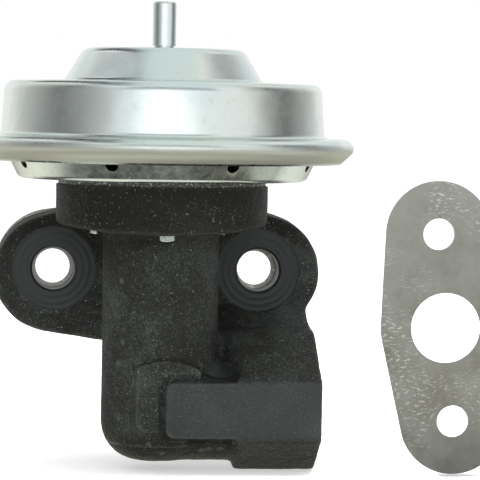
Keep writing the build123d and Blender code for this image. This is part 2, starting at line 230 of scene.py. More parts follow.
# mounting flange: two ears and a wide middle in one drafted outline, each with its x, z and radius,
# and the neck between flange and column
GASKET_GAUGE = 0.6
FLANGE_DEPTH = 10.4
FLANGE_DRAFT = 0.045
EAR_LEFT = (-25.0, -1.3, 14.7)
EAR_RIGHT = (26.3, -0.5, 14.2)
FLANGE_MIDDLE = (0.0, 0.0, 19.7)
NECK_SIDE = 12.5
NECK_BOTTOM = -17.0
flange_points = []
for depth in (-MACHINING_STOCK, FLANGE_DEPTH):
    for x, z, radius in (EAR_LEFT, EAR_RIGHT, FLANGE_MIDDLE):
        flange_points += ring(blank, x, -GASKET_GAUGE - depth, z, radius - depth * FLANGE_DRAFT)
wrap(blank, flange_points)
block(blank, (-NECK_SIDE, STEM_Y, NECK_BOTTOM), (NECK_SIDE, -GASKET_GAUGE - 1, DISC_BOTTOM + 2))

# arm to the inlet, the web along its top, and the filling that slopes from column to collar
INLET_Y = STEM_Y - 1.5
INLET_Z = -31.0
ARM_R = 11.6
ARM_Z = -32.6
HEX_START = 17.5
HEX_END = 37.4
RIDGE_Y = -25.0
RIDGE_Z = -13.28
FILLING_START = 11.5
FILLING_BOTTOM = -26.0
rod(blank, (0, INLET_Y, ARM_Z), (HEX_START + 1, INLET_Y, ARM_Z), ARM_R)
web_side = [(-3.0, -8.0), (-10.4, -8.0), (-11.0, RIDGE_Z), (RIDGE_Y + 4.5, RIDGE_Z), (-19, -26), (-10, -28),
            (-3.0, -19)]
wrap(blank, [blank.verts.new((x, y, z)) for x in (COLUMN_R - 2, HEX_END - 0.6) for y, z in web_side])
filling = [(FILLING_START, -18.0, RIDGE_Z), (FILLING_START, -10.0, RIDGE_Z),
           (FILLING_START, -20.0, FILLING_BOTTOM), (HEX_START, RIDGE_Y, RIDGE_Z), (HEX_START, -10.0, RIDGE_Z),
           (HEX_START, -21.0, FILLING_BOTTOM), (HEX_START, -35.0, -20.3)]
wrap(blank, [blank.verts.new(point) for point in filling])

# collar: a hexagon with a flat to the front, its upper facet run on to a ridge in front of the flange
HEX_FLATS = 27.6
COLLAR_ROUND = 1.3
BAR_HEIGHT = 13.1
flat_reach = HEX_FLATS / 2
half_side = flat_reach / math.sqrt(3)
face_top = INLET_Z + BAR_HEIGHT / 2 + 0.3
face_foot = INLET_Z - BAR_HEIGHT / 2 - 0.5
collar_side = [(INLET_Y - flat_reach, face_top), (RIDGE_Y, RIDGE_Z), (INLET_Y + flat_reach, RIDGE_Z),
               (INLET_Y + flat_reach, INLET_Z - half_side), (INLET_Y, INLET_Z - 2 * half_side),
               (INLET_Y - flat_reach, face_foot)]
collar = [blank.verts.new((x, y, z)) for x in (HEX_START, HEX_END) for y, z in collar_side]
wrap(blank, collar)
bmesh.ops.dissolve_limit(blank, angle_limit=0.02, verts=collar,
                         edges=list({e for v in collar for e in v.link_edges}))
soften_along(blank, collar, 0, COLLAR_ROUND, 4)

# raised bar across the column, and the low arched pad behind it
BAR_START = 0.7
BAR_FRONT = -42.05
BAR_ROOT = -32.9
BAR_ROUND = 1.9
PAD_FRONT = -41.0
PAD_ROOT = -32.0
PAD_LEFT = -6.4
PAD_RIGHT = 9.2
PAD_FOOT = -36.2
PAD_TOE_R = 3.0
ARCH_X = 0.8
ARCH_Z = -33.4
ARCH_R = 14.1
ARCH_START = -24.0
bar = block(blank, (BAR_START, BAR_FRONT, INLET_Z - BAR_HEIGHT / 2),
            (HEX_END - 0.5, BAR_ROOT, INLET_Z + BAR_HEIGHT / 2))
soften_along(blank, bar, 1, BAR_ROUND, 5)
pad_points = []
for y in (PAD_FRONT, PAD_ROOT):
    arch = ring(blank, ARCH_X, y, ARCH_Z, ARCH_R)
    beyond = [v for v in arch if not (PAD_LEFT < v.co.x < PAD_RIGHT and v.co.z > ARCH_START)]
    pad_points += [v for v in arch if v not in beyond]
    bmesh.ops.delete(blank, geom=beyond, context="VERTS")
    pad_points += ring(blank, PAD_LEFT + PAD_TOE_R, y, PAD_FOOT + PAD_TOE_R, PAD_TOE_R)
    pad_points.append(blank.verts.new((PAD_RIGHT, y, PAD_FOOT)))
wrap(blank, pad_points)
bmesh.ops.recalc_face_normals(blank, faces=blank.faces)

# one skin over all of it, then the corners washed soft as sand leaves them: least on bar and pad,
# most in the valley between column and collar
SKIN_VOXEL = 0.46
WAVE_LENGTH = 4.5
WAVE_HEIGHT = 0.28
casting = as_object("body_casting", blank)
skin = casting.modifiers.new("skin", "REMESH")
skin.mode = "VOXEL"
skin.voxel_size = SKIN_VOXEL * MM
settled(casting)
skin = bmesh.new()
skin.from_mesh(casting.data)
crisp = {v for v in skin.verts if v.co.y < (PAD_FRONT + 0.7) * MM and v.co.z < -18 * MM}
soft = [v for v in skin.verts if v not in crisp]
valley = [v for v in soft if 9 < v.co.x / MM < 21 and -37 < v.co.z / MM < -12 and v.co.y < -12 * MM]
for group, passes in ((soft, 12), (valley, 40), (list(crisp), 2)):
    for number in range(passes):
        bmesh.ops.smooth_vert(skin, verts=group, factor=0.5, use_axis_x=True, use_axis_y=True,
                              use_axis_z=True)


def groove(away, middle, width, depth):
    """How deep a soft groove is at a distance from the form that it runs beside."""
    return depth * MM * math.exp(-((away - middle) / width) ** 2)


# shallow grooves where the bar's end and the pad's arch were let into the mould
for v in skin.verts:
    x, y, z = v.co / MM
    if y < -36 and x < HEX_START - 1:
        beside = max(BAR_START + BAR_ROUND - x, 0.0)
        above = max(abs(z - INLET_Z) - BAR_HEIGHT / 2 + BAR_ROUND, 0.0)
        v.co.y += groove(math.hypot(beside, above) - BAR_ROUND, middle=0.95, width=0.6, depth=0.75)
    if y < -36 and -7 < x < 9 and z > ARCH_START:
        v.co.y += groove(math.hypot(x - ARCH_X, z - ARCH_Z) - ARCH_R, middle=0.4, width=0.7, depth=0.6)
skin.to_mesh(casting.data)
skin.free()
waves = bpy.data.textures.new("casting_waves", "CLOUDS")
waves.noise_scale = WAVE_LENGTH * MM
uneven = casting.modifiers.new("uneven", "DISPLACE")
uneven.texture = waves
uneven.texture_coords = "LOCAL"
uneven.mid_level = 0.5
uneven.strength = WAVE_HEIGHT * MM

# the machine shop's cuts: mounting face, disc top, bolt seats and holes, port, stem bores, inlet
BOLT_X = 25.0
EAR_HOLE_R = 5.2
BOLT_SEAT_R = 10.1
BOLT_SEAT_Y = -(GASKET_GAUGE + FLANGE_DEPTH - 0.5)
PORT_R = 9.3
PORT_DEPTH = 10
PORT_INNER_R = 8.6
STEM_BORE_R = 8.0
SEAT_BORE_R = 9.4
SEAT_LOW = -24.5
SEAT_HIGH = -19.5
GUIDE_BORE_R = 9.7
GUIDE_FLANGE_R = 12.5
INLET_WAY_R = 7.0
TAPPING_DRILL_R = 9.2
THREAD_R = 10.0
THREAD_LENGTH = 14
LEAD_IN = 0.7
for low, high in (((-60, -GASKET_GAUGE, -40), (60, 10, 40)),
                  ((-40, STEM_Y - 40, DISC_TOP), (40, STEM_Y + 40, 40))):
    shape = bmesh.new()
    block(shape, low, high)
    cut_away(casting, shape)
bolt_line = [(0, 40), (BOLT_SEAT_R, 40), (BOLT_SEAT_R, -BOLT_SEAT_Y), (EAR_HOLE_R + 0.5, -BOLT_SEAT_Y),
             (EAR_HOLE_R, -BOLT_SEAT_Y - 0.5), (EAR_HOLE_R, -4), (0, -4)]
port_line = [(0, -4), (PORT_R, -4), (PORT_R, PORT_DEPTH), (PORT_INNER_R, PORT_DEPTH), (PORT_INNER_R, -STEM_Y),
             (0, -STEM_Y)]
stem_line = [(0, -40), (STEM_BORE_R, -38), (STEM_BORE_R, SEAT_LOW), (SEAT_BORE_R, SEAT_LOW),
             (SEAT_BORE_R, SEAT_HIGH), (GUIDE_BORE_R, SEAT_HIGH), (GUIDE_BORE_R, DISC_TOP - 2),
             (GUIDE_FLANGE_R, DISC_TOP - 2), (GUIDE_FLANGE_R, DISC_TOP + 3), (0, DISC_TOP + 3)]
inlet_line = [(0, 0), (INLET_WAY_R, 0), (INLET_WAY_R, HEX_END - THREAD_LENGTH - 2.2),
              (TAPPING_DRILL_R, HEX_END - THREAD_LENGTH), (THREAD_R, HEX_END - THREAD_LENGTH),
              (THREAD_R, HEX_END - LEAD_IN), (THREAD_R + LEAD_IN, HEX_END), (THREAD_R + LEAD_IN, HEX_END + 3),
              (0, HEX_END + 3)]
for line, middle, axis in ((bolt_line, (-BOLT_X, 0, 0), (0, -1, 0)), (bolt_line, (BOLT_X, 0, 0), (0, -1, 0)),
                           (port_line, (0, 0, 0), (0, -1, 0)), (stem_line, (0, STEM_Y, 0), (0, 0, 1)),
                           (inlet_line, (0, INLET_Y, INLET_Z), (1, 0, 0))):
    shape = bmesh.new()
    turn(shape, line, {}, False, 120, middle, axis)
    cut_away(casting, shape)

# Blackened grey iron as cast: near black, dull and grainy, its flats a little paler where they were rubbed,
# its edges worn to bare iron, and single grains worn bare and painted pale as glints. Sand grain is 0.3 mm,
# drawn at 0.5 mm to show.
cast_iron, tree, place = new_material("blackened_cast_iron")
grain = add(tree, "TexNoise", {}, {"Vector": place, "Scale": drawn_at(0.5), "Detail": 4.0, "Roughness": 0.65})
clumps = add(tree, "TexNoise", {},
             {"Vector": place, "Scale": drawn_at(1.613), "Detail": 4.0, "Roughness": 0.6})
patches = add(tree, "TexNoise", {}, {"Vector": place, "Scale": drawn_at(13.33), "Detail": 3.0})
soot = add(tree, "Mix", {"data_type": "RGBA"}, {0: patches, "A": linear("#1f1f1a"), "B": linear("#2c2f2e")})
mottle = add(tree, "Math", {"operation": "MULTIPLY_ADD"}, {0: clumps, 1: 0.35, 2: grain})
mottle = add(tree, "Math", {"operation": "MULTIPLY_ADD"}, {0: patches, 1: 0.6, 2: mottle})
raised_grain = add(tree, "MapRange", {}, {0: mottle, "From Min": 0.94, "From Max": 1.22, "To Max": 0.75})
gritty = add(tree, "Mix", {"data_type": "RGBA"}, {0: raised_grain, "A": soot, "B": linear("#4e534f")})
# painted shade: the disc and the top of the neck are darkened where the can shades them, and the column is
# darker towards its foot
split = add(tree, "SeparateXYZ", {}, {0: place})
shade_under_can = add(tree, "MapRange", {},
           {0: split.outputs["Z"], "From Min": 2 * MM, "From Max": 10 * MM, "To Max": 0.75})
foot = add(tree, "MapRange", {},
           {0: split.outputs["Z"], "From Min": -36 * MM, "From Max": -40 * MM, "To Max": 0.85})
can_shade_and_dark_foot = add(tree, "Math", {"operation": "MAXIMUM"}, {0: shade_under_can, 1: foot})
gritty = add(tree, "Mix", {"data_type": "RGBA"}, {0: can_shade_and_dark_foot, "A": gritty, "B": linear("#171713")})
# the bar's flat stands out furthest and is rubbed paler, with fewer glints
standing_out = add(tree, "MapRange", {},
                   {0: split.outputs["Y"], "From Min": -41.1 * MM, "From Max": -42 * MM, "To Max": 0.55})
under_disc = add(tree, "MapRange", {}, {0: split.outputs["Z"], "From Min": 4 * MM, "From Max": -4 * MM})
front = add(tree, "Math", {"operation": "MULTIPLY"}, {0: standing_out, 1: under_disc})
flats = add(tree, "Mix", {"data_type": "RGBA"}, {0: front, "A": gritty, "B": linear("#404445")})
edges = add(tree, "NewGeometry", {}, {})
rubbed = add(tree, "MapRange", {},
             {0: edges.outputs["Pointiness"], "From Min": 0.515, "From Max": 0.57, "To Max": 0.6})
worn = add(tree, "Mix", {"data_type": "RGBA"}, {0: rubbed, "A": flats, "B": linear("#545853")})
# painted glints: single grains painted pale as if they caught the light, fewer on the rubbed bar
glints = add(tree, "TexNoise", {}, {"Vector": place, "Scale": drawn_at(0.3846), "Detail": 1.0})
glint = add(tree, "MapRange", {}, {0: glints, "From Min": 0.70, "From Max": 0.75, "To Max": 0.8})
unrubbed = add(tree, "MapRange", {}, {0: front, "From Max": 0.55, "To Min": 1.0, "To Max": 0.35})
glint = add(tree, "Math", {"operation": "MULTIPLY"}, {0: glint, 1: unrubbed})
sparkle = add(tree, "Mix", {"data_type": "RGBA"}, {0: glint, "A": worn, "B": linear("#8d918c")})
dull = add(tree, "MapRange", {}, {0: grain, "From Min": 0.3, "From Max": 0.7, "To Min": 0.62, "To Max": 0.42})
height = add(tree, "Math", {"operation": "MULTIPLY_ADD"}, {0: clumps, 1: 1.8, 2: grain})
relief = add(tree, "Bump", {}, {"Height": height, "Distance": 0.22 * MM, "Strength": 1.0})
surface = add(tree, "BsdfPrincipled", {}, {
    "Base Color": sparkle, "Roughness": dull, "Metallic": 0.0, "IOR": 1.5, "Specular IOR Level": 0.13,
    "Normal": relief})
add(tree, "OutputMaterial", {}, {"Surface": surface})

# The same iron where the cutter has been: smooth, blue-black, with the faint rings of the tool round
# each bolt hole. Feed marks are 0.1 mm apart, drawn at 1.6 mm to show.
FEED_DRAWN = 1.6
cut_iron, tree, place = new_material("blackened_machined_iron")
split = add(tree, "SeparateXYZ", {}, {0: place})
side = add(tree, "Math", {"operation": "ABSOLUTE"}, {0: split.outputs["X"]})
reach = add(tree, "Math", {"operation": "SUBTRACT"}, {0: side, 1: BOLT_X * MM})
flat_place = add(tree, "CombineXYZ", {}, {0: reach, 1: split.outputs["Z"]})
out = add(tree, "VectorMath", {"operation": "LENGTH"}, {0: flat_place})
sweep = add(tree, "Math", {"operation": "MULTIPLY"}, {0: out, 1: math.tau * drawn_at(FEED_DRAWN)})
rings = add(tree, "Math", {"operation": "SINE"}, {0: sweep})
drift = add(tree, "TexNoise", {}, {"Vector": place, "Scale": drawn_at(3.85), "Detail": 4.0})
fine = add(tree, "TexNoise", {}, {"Vector": place, "Scale": drawn_at(0.3846), "Detail": 2.0})
tone = add(tree, "Mix", {"data_type": "RGBA"}, {0: drift, "A": linear("#1c1f20"), "B": linear("#2c3031")})
gloss = add(tree, "MapRange", {},
            {0: drift, "From Min": 0.3, "From Max": 0.7, "To Min": 0.36, "To Max": 0.52})
height = add(tree, "Math", {"operation": "MULTIPLY_ADD"}, {0: rings, 1: 0.5, 2: fine})
relief = add(tree, "Bump", {}, {"Height": height, "Distance": 0.08 * MM, "Strength": 0.8})
surface = add(tree, "BsdfPrincipled", {}, {
    "Base Color": tone, "Roughness": gloss, "Metallic": 0.0, "IOR": 1.5, "Specular IOR Level": 0.4,
    "Normal": relief})
add(tree, "OutputMaterial", {}, {"Surface": surface})

TOUCH = 0.03


def is_cut(face):
    """Whether a face of the body was left by a cutter."""
    x, y, z = face.center / MM
    from_stem = math.hypot(x, y - STEM_Y)
    from_bolt = math.hypot(abs(x) - BOLT_X, z)
    from_port = math.hypot(x, z)
    from_inlet = math.hypot(y - INLET_Y, z - INLET_Z)
    faced = abs(y + GASKET_GAUGE) < TOUCH and face.normal.y > 0.99
    topped = abs(z - DISC_TOP) < TOUCH and face.normal.z > 0.99
    seat = y < 0 and from_bolt < BOLT_SEAT_R + TOUCH and abs(y - BOLT_SEAT_Y) < TOUCH
    seat_wall = abs(from_bolt - BOLT_SEAT_R) < 2 * TOUCH and abs(face.normal.y) < 0.05 and y < BOLT_SEAT_Y
    bolt_hole = y < 0 and from_bolt < EAR_HOLE_R + 0.7
    stem_bore = from_stem < GUIDE_FLANGE_R + TOUCH and z > -40
    port = from_port < PORT_R + TOUCH and y > STEM_Y
    inlet = from_inlet < THREAD_R + LEAD_IN + TOUCH and x > 6
    return faced or topped or seat or seat_wall or bolt_hole or stem_bore or port or inlet


finish(casting, [cast_iron, cut_iron], "housing", ["valve_body"])
for face in casting.data.polygons:
    face.material_index = 1 if is_cut(face) else 0

# ---------------------------------------------------------------- upper cover, nipple and lower cover
# Drawn sheet steel, bright zinc plated. The upper cover's edge is rolled under the lower cover's
# flange and clamps the diaphragm. The nipple is a tube swaged into the dome.
SHEET = 0.9
FOLD_ROOT = Vector((41.6, 27.35))
FOLD_WAY = Vector((3.3, 3.05)).normalized()
FOLD_LENGTH = 4.5
FLANGE_UNDER = 27.4
PAN_BOTTOM = 22.5
CORNER_LOW = 34.0
CORNER_HIGH = 36.4
VENTS = 8
VENT_R = 1.5
VENT_Z = 26.3


def thicken(thing, gauge, offset):
    """Gives a turned sheet its wall."""
    wall = thing.modifiers.new("wall", "SOLIDIFY")
    wall.thickness = gauge * MM
    wall.offset = offset
    wall.use_even_offset = True
    return thing


# Bright electroplated zinc over drawn steel: a clear metal mirror made satin by faint draw marks,
# with a light haze that runs from cool to straw. Draw marks are 0.05 mm wide, drawn at 0.4 mm.
zinc, tree, place = new_material("bright_zinc_plate")
haze = add(tree, "TexNoise", {}, {"Vector": place, "Scale": drawn_at(22.2), "Detail": 3.0, "Roughness": 0.6})
straw = add(tree, "Mix", {"data_type": "RGBA"}, {0: haze, "A": linear("#d2e2ec"), "B": linear("#e5e5d4")})
drawn_out = add(tree, "Mapping", {}, {"Vector": place, "Scale": (1.0, 1.0, 0.03)})
marks = add(tree, "TexNoise", {}, {"Vector": drawn_out, "Scale": drawn_at(0.417), "Detail": 3.0})
bloom = add(tree, "TexNoise", {}, {"Vector": place, "Scale": drawn_at(2.0), "Detail": 4.0, "Roughness": 0.7})
spots = add(tree, "MapRange", {}, {0: bloom, "From Min": 0.62, "From Max": 0.74, "To Max": 0.35})
tint = add(tree, "Mix", {"data_type": "RGBA"}, {0: spots, "A": straw, "B": linear("#bcbdb2")})
# the rolled edge is more satin where the rolling tool rubbed it, and its lower part is painted greyer as a
# painted reflection
split = add(tree, "SeparateXYZ", {}, {0: place})
rolled_edge = add(tree, "MapRange", {}, {0: split.outputs["Z"], "From Min": 31.4 * MM, "From Max": 29.6 * MM})
below = add(tree, "MapRange", {}, {0: split.outputs["Z"], "From Min": 27.0 * MM, "From Max": 27.3 * MM})
reflection_and_rub_on_edge = add(tree, "Math", {"operation": "MULTIPLY"}, {0: rolled_edge, 1: below})
# painted reflection: the lower part of the rolled edge is tinted greyer
edge_tint = add(tree, "Mix", {"data_type": "RGBA"}, {0: reflection_and_rub_on_edge, "A": tint, "B": linear("#d6d7cd")})
satin = add(tree, "MapRange", {},
            {0: bloom, "From Min": 0.3, "From Max": 0.7, "To Min": 0.18, "To Max": 0.30})
dulled = add(tree, "Math", {"operation": "MULTIPLY_ADD"}, {0: reflection_and_rub_on_edge, 1: 0.35, 2: satin})
waves = add(tree, "TexNoise", {}, {"Vector": place, "Scale": drawn_at(11.1), "Detail": 1.0})
wavy = add(tree, "Bump", {}, {"Height": waves, "Distance": 0.6 * MM, "Strength": 0.5})
height = add(tree, "Math", {"operation": "MULTIPLY_ADD"}, {0: marks, 1: 0.5, 2: bloom})
relief = add(tree, "Bump", {}, {"Height": height, "Distance": 0.01 * MM, "Strength": 0.35, "Normal": wavy})
surface = add(tree, "BsdfPrincipled", {}, {
    "Base Color": edge_tint, "Roughness": dulled, "Metallic": 1.0, "Normal": relief})
add(tree, "OutputMaterial", {}, {"Surface": surface})

cover = bmesh.new()
turn(cover, [(2.35, 52.6), (18.36, 52.35), (22.95, 44.75), (36.6, 44.4), (37.5, 31.9), (43.4, 31.6),
             tuple(FOLD_ROOT + FOLD_WAY * FOLD_LENGTH), tuple(FOLD_ROOT)],
     {1: 2.1, 2: 2.1, 3: 1.5, 4: 2.0, 5: 0.8, 6: 1.1}, False, 256)
upper = thicken(as_object("upper_cover_shell", cover), SHEET, 1.0)
finish(upper, [zinc], "housing", ["upper_cover"])

# the pan, its flange lying in the fold, and the vents punched square through its slanting wall
fold_entry = FOLD_ROOT.x - (FOLD_ROOT.y - FLANGE_UNDER) * FOLD_WAY.x / FOLD_WAY.y
flange_edge = FOLD_ROOT + FOLD_WAY * (FOLD_LENGTH - SHEET)
pan = bmesh.new()
turn(pan, [(4.2, PAN_BOTTOM), (CORNER_LOW, PAN_BOTTOM), (CORNER_HIGH, FLANGE_UNDER),
           (fold_entry, FLANGE_UNDER), tuple(flange_edge)], {1: 1.6, 2: 0.9, 3: 0.5}, False, 256)
lower = thicken(as_object("lower_cover_pan", pan), SHEET, -1.0)
settled(lower)
wall_way = Vector((CORNER_HIGH - CORNER_LOW, 0, FLANGE_UNDER - PAN_BOTTOM)).normalized()
vent_out = CORNER_LOW + (VENT_Z - PAN_BOTTOM) * wall_way.x / wall_way.z
for number in range(VENTS):
    swing = Matrix.Rotation((number + 0.5) * math.tau / VENTS, 4, "Z")
    outward = swing @ Vector((wall_way.z, 0, -wall_way.x))
    middle = swing @ Vector((vent_out, 0, VENT_Z)) + Vector((0, STEM_Y, 0))
    shape = bmesh.new()
    rod(shape, middle - outward * 2, middle + outward * 2, VENT_R, 40)
    cut_away(lower, shape)
finish(lower, [zinc], "housing", ["lower_cover"])

tube = bmesh.new()
turn(tube, [(1.5, 51.4), (3.8, 51.4), (3.8, 52.5), (2.35, 52.5), (2.35, 54.0), (2.8, 54.0), (2.8, 64.4),
            (1.5, 64.4)], {1: 0.3, 2: 0.3, 6: 0.6, 7: 0.3}, True, 96)
nipple = as_object("vacuum_tube", tube)
finish(nipple, [zinc], "housing", ["vacuum_nipple"])

# ---------------------------------------------------------------- base gasket and rivets
# A steel-cored graphite gasket seals the can to the disc. Three zinc plated steel rivets pass through
# pan, gasket and disc, their heads inside the pan and their tails set under the disc.
GASKET_BORE_R = 8.0
RIVET_CIRCLE_R = 19.5
RIVET_R = 1.75
RIVET_HEAD_R = 3.2
RIVET_HEAD = 1.4
RIVET_TAIL = 8.6

# Graphite pressed on a steel core: dark grey, layered at its edge, with pale flakes. Flakes are
# 0.2 mm wide, drawn at 0.5 mm.
graphite, tree, place = new_material("steel_cored_graphite")
flakes = add(tree, "TexNoise", {}, {"Vector": place, "Scale": drawn_at(0.526), "Detail": 2.0})
flake = add(tree, "MapRange", {}, {0: flakes, "From Min": 0.56, "From Max": 0.66})
layers = add(tree, "Mapping", {}, {"Vector": place, "Scale": (1.0, 1.0, 9.0)})
layer = add(tree, "TexNoise", {}, {"Vector": layers, "Scale": drawn_at(3.33), "Detail": 3.0})
base = add(tree, "Mix", {"data_type": "RGBA"}, {0: layer, "A": linear("#2f2f2c"), "B": linear("#55564f")})
bright = add(tree, "Mix", {"data_type": "RGBA"}, {0: flake, "A": base, "B": linear("#a9aaa2")})
relief = add(tree, "Bump", {}, {"Height": flakes, "Distance": 0.1 * MM, "Strength": 0.8})
surface = add(tree, "BsdfPrincipled", {}, {
    "Base Color": bright, "Roughness": 0.5, "Metallic": 0.4, "Normal": relief})
add(tree, "OutputMaterial", {}, {"Surface": surface})

sheet = bmesh.new()
turn(sheet, [(GASKET_BORE_R, DISC_TOP), (DISC_R - 0.5, DISC_TOP), (DISC_R - 0.5, PAN_BOTTOM),
             (GASKET_BORE_R, PAN_BOTTOM)], {1: 0.2, 2: 0.2}, True, 192)
finish(as_object("base_gasket_ring", sheet), [graphite], "housing", ["base_gasket"])

pan_floor = PAN_BOTTOM + SHEET
rivet_line = [(0, RIVET_TAIL), (RIVET_R, RIVET_TAIL), (RIVET_R, pan_floor), (RIVET_HEAD_R, pan_floor),
              (RIVET_HEAD_R, pan_floor + RIVET_HEAD), (0, pan_floor + RIVET_HEAD)]
rivets = bmesh.new()
for bearing in (-90, 40, 140):
    swing = math.radians(bearing)
    rivet = bmesh.new()
    turn(rivet, rivet_line, {1: 0.5, 4: 0.9}, False, 40,
         (RIVET_CIRCLE_R * math.cos(swing), STEM_Y + RIVET_CIRCLE_R * math.sin(swing), 0))
    one = bpy.data.meshes.new("rivet")
    rivet.to_mesh(one)
    rivets.from_mesh(one)
    rivet.free()
finish(as_object("rivet_set", rivets), [zinc], "housing", ["base_rivets"])

# ---------------------------------------------------------------- mounting gasket
# A plain sheet of cold rolled steel between flange and manifold, handled and a little scratched. Its
# outline and holes are the frame's own.

# Cold rolled steel gives a grey sheen with short pale scuffs where it was handled. Its rolling grain
# is 0.02 mm wide and its scuffs 0.1 mm, drawn at 0.4 and 0.5 mm.
rolled, tree, place = new_material("cold_rolled_steel_sheet")
stretched = add(tree, "Mapping", {}, {"Vector": place, "Scale": (0.06, 1.0, 1.0), "Rotation": (0, 0.5, 0)})
rolling = add(tree, "TexNoise", {}, {"Vector": stretched, "Scale": drawn_at(0.417), "Detail": 3.0})
cloud = add(tree, "TexNoise", {},
            {"Vector": place, "Scale": drawn_at(9.09), "Detail": 5.0, "Roughness": 0.65})
sheen = add(tree, "Mix", {"data_type": "RGBA"}, {0: cloud, "A": linear("#7c776b"), "B": linear("#b9bab4")})
handled = add(tree, "TexNoise", {}, {"Vector": place, "Scale": drawn_at(16.7), "Detail": 2.0})
where = add(tree, "MapRange", {}, {0: handled, "From Min": 0.44, "From Max": 0.60})
crossed = add(tree, "Mapping", {}, {"Vector": place, "Scale": (0.4, 1.0, 1.0), "Rotation": (0, 0.7, 0)})
scuffs = add(tree, "TexNoise", {},
             {"Vector": crossed, "Scale": drawn_at(0.526), "Detail": 3.0, "Roughness": 0.6})
scuff = add(tree, "MapRange", {}, {0: scuffs, "From Min": 0.55, "From Max": 0.65, "To Max": 0.85})
shown = add(tree, "Math", {"operation": "MULTIPLY"}, {0: scuff, 1: where})
scored = add(tree, "Mix", {"data_type": "RGBA"}, {0: shown, "A": sheen, "B": linear("#e4e3dd")})
dull = add(tree, "MapRange", {}, {0: cloud, "From Min": 0.3, "From Max": 0.7, "To Min": 0.28, "To Max": 0.46})
relief = add(tree, "Bump", {}, {"Height": rolling, "Distance": 0.02 * MM, "Strength": 0.5})
surface = add(tree, "BsdfPrincipled", {}, {
    "Base Color": scored, "Roughness": dull, "Metallic": 1.0, "Normal": relief})
add(tree, "OutputMaterial", {}, {"Surface": surface})


def coat(material, *nodes):
    """Gives frame nodes their finish."""
    for name in nodes:
        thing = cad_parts[name]
        thing.data.materials.clear()
        thing.data.materials.append(material)


coat(rolled, "mounting_gasket")

# a second gasket of the same kind stands upright beside the valve, shown a little smaller than it
# is, with a low pale foot behind it
SHOWN = 0.886
TILT = 5.4
LOOSE_PLACE = (66.4, -40.0, -11.2)
loose = bpy.data.objects.new("loose_gasket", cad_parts["mounting_gasket"].data.copy())
bpy.context.scene.collection.objects.link(loose)
upright = Matrix.Scale(SHOWN, 4) @ Matrix.Rotation(math.radians(90 - TILT), 4, "Y")
loose.data.transform(Matrix.Translation(Vector(LOOSE_PLACE) * MM) @ upright)
foot_side = [(-39.2, -46), (-39.2, -40.5), (-33.0, -46)]
wedge = bmesh.new()
wrap(wedge, [wedge.verts.new((x, y, z)) for x in (66, 76) for y, z in foot_side])
rest = as_object("gasket_rest", wedge)
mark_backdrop(loose, rest)

# ---------------------------------------------------------------- inlet thread
# The female thread of the collar, M20 x 1.5, cut into the iron from the end face behind a lead-in.
# It is one ridge wound round the inlet's axis, from wall to crest.
THREAD_PITCH = 1.5
TURNS = 8
STEPS_A_TURN = 60
thread = bmesh.new()
start_x = HEX_END - 0.9 - THREAD_PITCH * TURNS
profile = [thread.verts.new((start_x + x, INLET_Y, INLET_Z + r))
           for x, r in ((-0.72, THREAD_R + 0.06), (-0.1, TAPPING_DRILL_R), (0.1, TAPPING_DRILL_R),
                        (0.72, THREAD_R + 0.06))]
first = thread.faces.new(profile)
bmesh.ops.spin(thread, geom=[first], cent=(0, INLET_Y, INLET_Z), axis=(1, 0, 0),
               dvec=(THREAD_PITCH / STEPS_A_TURN, 0, 0), angle=math.tau * TURNS, steps=STEPS_A_TURN * TURNS)
bmesh.ops.recalc_face_normals(thread, faces=thread.faces)
finish(as_object("inlet_thread", thread), [cut_iron], "housing", [], 50)

# ---------------------------------------------------------------- diaphragm
# Fabric coated with black rubber. Its middle is clamped on the stem, its bead sits in the rolled
# edge, and one soft fold between them unrolls as the valve lifts.
RUBBER_GAUGE = 1.0
PLATE_EDGE_R = 25.0
PLATE_Z = 26.0
FOLD_R = 30.9
FOLD_Z = 32.2

# The rubber is soft black with a faint bloom and the weave pressed through, which is 0.25 mm wide,
# drawn at 0.45 mm.
rubber, tree, place = new_material("rubber_coated_fabric")
cloth = add(tree, "TexNoise", {}, {"Vector": place, "Scale": drawn_at(0.455), "Detail": 1.0})
bloom = add(tree, "TexNoise", {}, {"Vector": place, "Scale": drawn_at(5.56), "Detail": 3.0})
tone = add(tree, "Mix", {"data_type": "RGBA"}, {0: bloom, "A": linear("#171717"), "B": linear("#262625")})
relief = add(tree, "Bump", {}, {"Height": cloth, "Distance": 0.05 * MM, "Strength": 0.6})
surface = add(tree, "BsdfPrincipled", {}, {
    "Base Color": tone, "Roughness": 0.62, "Metallic": 0.0, "IOR": 1.52, "Normal": relief})
add(tree, "OutputMaterial", {}, {"Surface": surface})

centre = bmesh.new()
turn(centre, [(2.0, PLATE_Z), (PLATE_EDGE_R, PLATE_Z)], {}, False, 128)
centre = thicken(as_object("diaphragm_centre", centre), RUBBER_GAUGE, 1.0)
finish(centre, [rubber], "stem_stack", ["diaphragm"])
roll = bmesh.new()
turn(roll, [(PLATE_EDGE_R, PLATE_Z), (25.4, PLATE_Z), (26.6, FOLD_Z), (FOLD_R, FOLD_Z)], {1: 0.3, 2: 3.0},
     False, 128)
roll = settled(thicken(as_object("diaphragm_roll", roll), RUBBER_GAUGE, 1.0))
finish(roll, [rubber], "housing", ["diaphragm"])
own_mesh(roll)
outer = bmesh.new()
turn(outer, [(FOLD_R, FOLD_Z), (35.2, FOLD_Z), (36.6, 29.2), (38.8, 29.2)], {1: 2.4, 2: 0.8}, False, 128)
outer = thicken(as_object("diaphragm_rim", outer), RUBBER_GAUGE, 1.0)
finish(outer, [rubber], "housing", ["diaphragm"])
bead = bmesh.new()
turn(bead, [(38.3, 28.3), (41.3, 28.3), (42.97, 29.84), (42.97, 31.62), (38.3, 31.85)],
     {1: 0.3, 2: 0.4, 3: 0.4}, True, 128)
finish(as_object("diaphragm_bead", bead), [rubber], "housing", ["diaphragm"])

# ---------------------------------------------------------------- return spring
# Oiled spring wire, wound with a closed coil at each end. It stands on the piston cup and bears
# under the dome, and shortens as the valve lifts.
SPRING_R = 13.3
SPRING_START = 29.15
WIRE_R = 1.2

